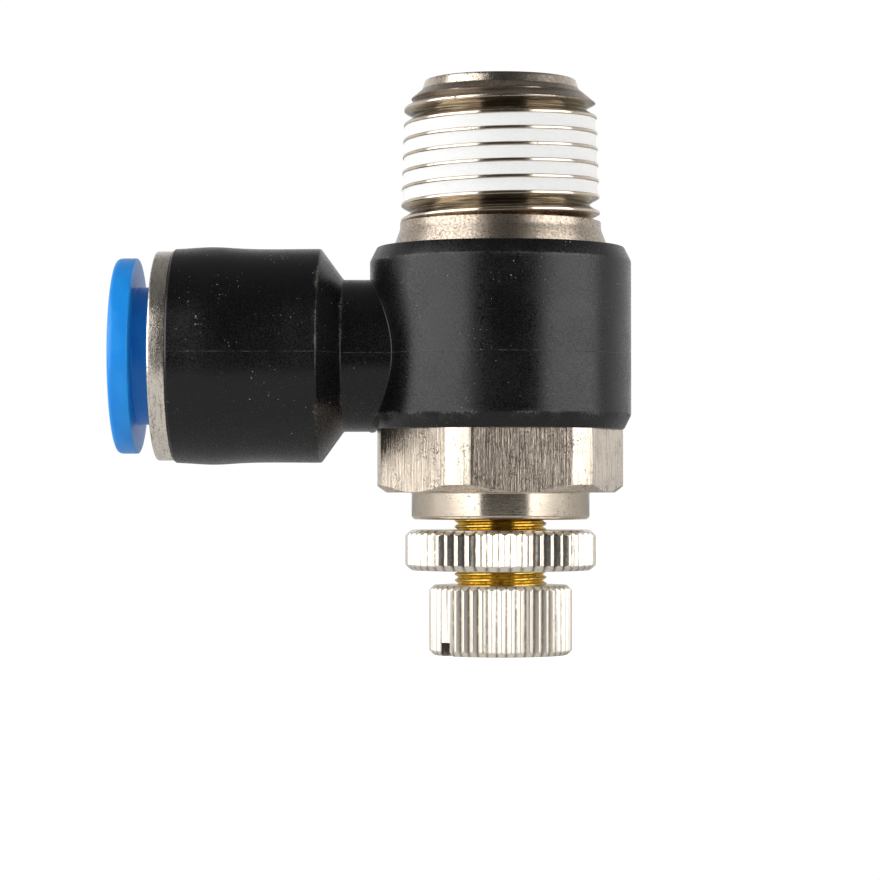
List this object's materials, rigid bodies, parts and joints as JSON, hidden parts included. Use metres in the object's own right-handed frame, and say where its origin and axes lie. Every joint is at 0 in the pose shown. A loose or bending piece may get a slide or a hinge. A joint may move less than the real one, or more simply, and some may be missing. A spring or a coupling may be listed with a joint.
{
  "type": "pneumatic flow control valve",
  "caption": "Elbow flow control valve: taper-threaded hex stem, swivelling push-in tube elbow with release collet, needle screw with knurled knob and lock nut.",
  "frame": {"origin": "on the stem axis at the gauge plane of the taper thread", "axes": "+Z along the stem axis out of the threaded nose, the tube leaves along -X"},
  "size_m": [0.0433, 0.022, 0.0483],
  "materials": {
    "nickel_stem": "nickel plated, satin turned",
    "nickel_cap": "nickel plated, tumbled",
    "nickel_knurl": "nickel plated, bright knurled",
    "bare_brass": "machined",
    "black_plastic": "fine moulded satin",
    "blue_plastic": "moulded semi-gloss",
    "white_sealant": "cured film, matt",
    "black_rubber": "matt",
    "natural_plastic": "moulded",
    "spring_steel": "stamped"
  },
  "bodies": {
    "stem": {"stem_body": "nickel_stem", "thread_sealant": "white_sealant", "seat_sleeve": "bare_brass", "check_lip_seal": "black_rubber", "upper_o_ring": "black_rubber", "lower_o_ring": "black_rubber"},
    "elbow": {"elbow_body": "black_plastic", "collet_cap_ring": "nickel_cap", "claw_washer": "spring_steel", "claw_support_ring": "natural_plastic", "tube_seal": "black_rubber"},
    "release_collet": {"release_collet": "blue_plastic"},
    "needle_travel": {"needle_o_ring": "black_rubber"},
    "needle": {"needle_screw": "bare_brass", "adjust_knob": "nickel_knurl"},
    "lock_nut": {"lock_nut": "nickel_knurl"}
  },
  "joints": [
    {"name": "elbow_swivel", "type": "hinge", "parent": "stem", "child": "elbow", "pos_m": [0, 0, -0.0142], "axis": [0, 0, 1], "continuous": true},
    {"name": "collet_press", "type": "slide", "parent": "elbow", "child": "release_collet", "axis": [1, 0, 0], "range_m": [0, 0.0014], "stiffness_N_per_m": 60, "springref_m": -0.0003},
    {"name": "needle_rise", "type": "slide", "parent": "stem", "child": "needle_travel", "axis": [0, 0, 1], "range_m": [-0.003, 0.0011]},
    {"name": "needle_turn", "type": "hinge", "parent": "needle_travel", "child": "needle", "pos_m": [0, 0, -0.03], "axis": [0, 0, 1], "range_deg": [-2159, 791]},
    {"name": "nut_slide", "type": "slide", "parent": "stem", "child": "lock_nut", "axis": [0, 0, 1], "range_m": [0, 0.00084]}
  ],
  "couplings": [
    {"joint": "needle_rise", "follows": "needle_turn", "m_per_rad": 0.000079577}
  ]
}
